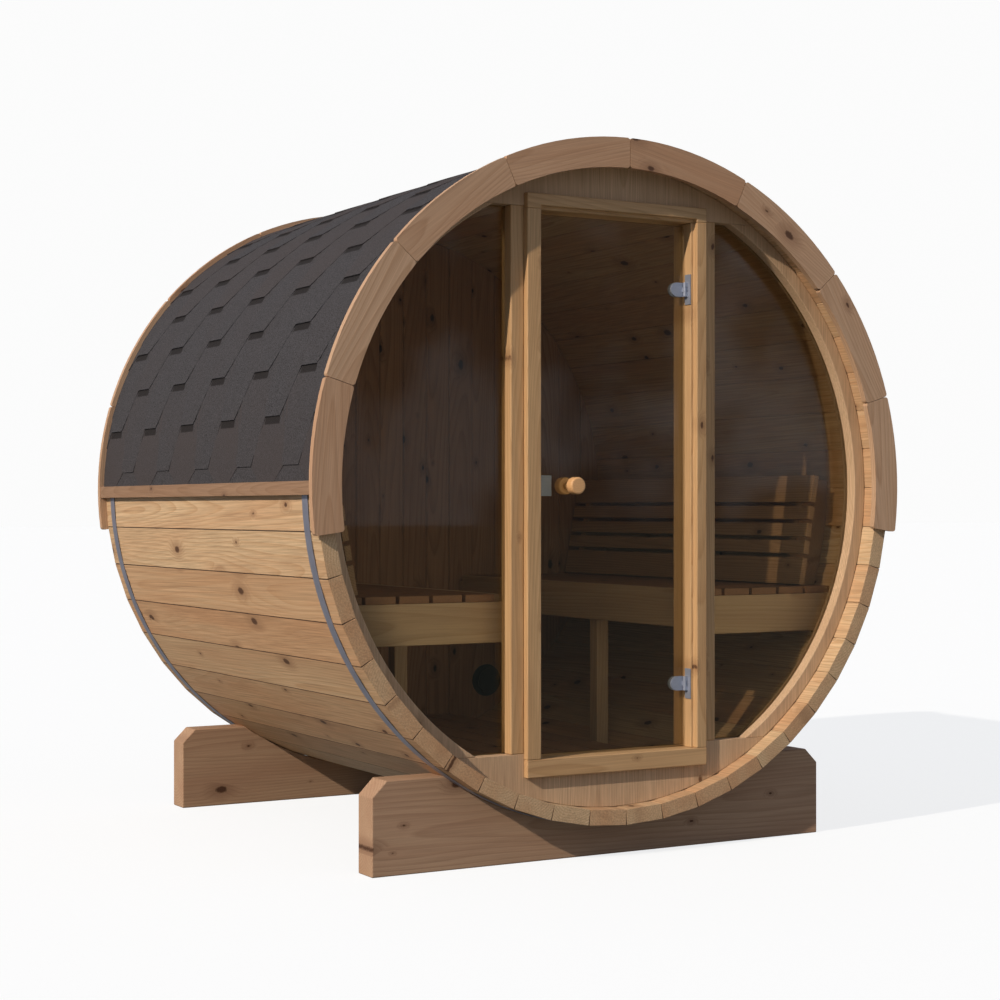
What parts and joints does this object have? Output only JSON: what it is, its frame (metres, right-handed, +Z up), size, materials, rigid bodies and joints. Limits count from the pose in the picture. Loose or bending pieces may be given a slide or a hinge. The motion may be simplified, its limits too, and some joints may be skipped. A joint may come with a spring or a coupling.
{
  "type": "barrel sauna",
  "caption": "Round stave barrel cabin lying on two cradles, with a glazed front wall, a hinged glass door, inner benches with backrests and a shingled roof.",
  "frame": {"origin": "on the ground under the middle of the barrel, which is the bottom centre of the bounding box", "axes": "+X to the right seen from the front, +Y from the glazed front to the rear along the barrel, +Z up"},
  "size_m": [2.012, 1.77, 2.088],
  "materials": {
    "cradle_timber": "sawn, oiled",
    "stave_timber": "planed, oiled",
    "fascia_timber": "planed, oiled",
    "front_timber": "planed, oiled",
    "inner_timber": "planed, dark",
    "knob_timber": "turned, oiled",
    "roof_shingle": "bitumen shingle with mineral granules",
    "hoop_steel": "galvanised",
    "hinge_steel": "satin",
    "vent_plastic": "moulded",
    "tinted_glass": "smoke tinted, toughened"
  },
  "bodies": {
    "cabin": {"cradle_front": "cradle_timber", "cradle_rear": "cradle_timber", "staves_top": "stave_timber", "staves_top_right": "stave_timber", "staves_right": "stave_timber", "staves_bottom_right": "stave_timber", "staves_bottom": "stave_timber", "staves_bottom_left": "stave_timber", "staves_left": "stave_timber", "staves_top_left": "stave_timber", "hoop_front": "hoop_steel", "hoop_rear": "hoop_steel", "fascia_front": "fascia_timber", "fascia_rear": "fascia_timber", "roof_left": "roof_shingle", "roof_right": "roof_shingle", "eave_batten_left": "fascia_timber", "eave_batten_right": "fascia_timber", "front_wall_head": "front_timber", "front_wall_base": "front_timber", "front_wall_left": "front_timber", "front_wall_right": "front_timber", "front_post_left": "front_timber", "front_post_right": "front_timber", "window_left": "tinted_glass", "window_right": "tinted_glass", "door_jamb_latch": "front_timber", "door_jamb_hinge": "front_timber", "door_head": "front_timber", "door_sill": "front_timber", "door_hinge_plates": "hinge_steel", "door_catch": "hinge_steel", "rear_wall": "inner_timber", "rear_vent": "vent_plastic", "bench_left_seat": "inner_timber", "bench_left_frame": "inner_timber", "bench_left_apron": "inner_timber", "bench_left_leg": "inner_timber", "bench_right_seat": "inner_timber", "bench_right_frame": "inner_timber", "bench_right_apron": "inner_timber", "bench_right_leg": "inner_timber", "backrest_left": "inner_timber", "backrest_right": "inner_timber", "floor_duckboard": "inner_timber"},
    "door": {"door_glass": "tinted_glass", "door_knob": "knob_timber", "door_hinge_clamps": "hinge_steel"}
  },
  "joints": [
    {"name": "door_hinge", "type": "hinge", "parent": "cabin", "child": "door", "pos_m": [0.257, -0.793, 1.082], "axis": [0, 0, 1], "range_deg": [0, 90]}
  ]
}
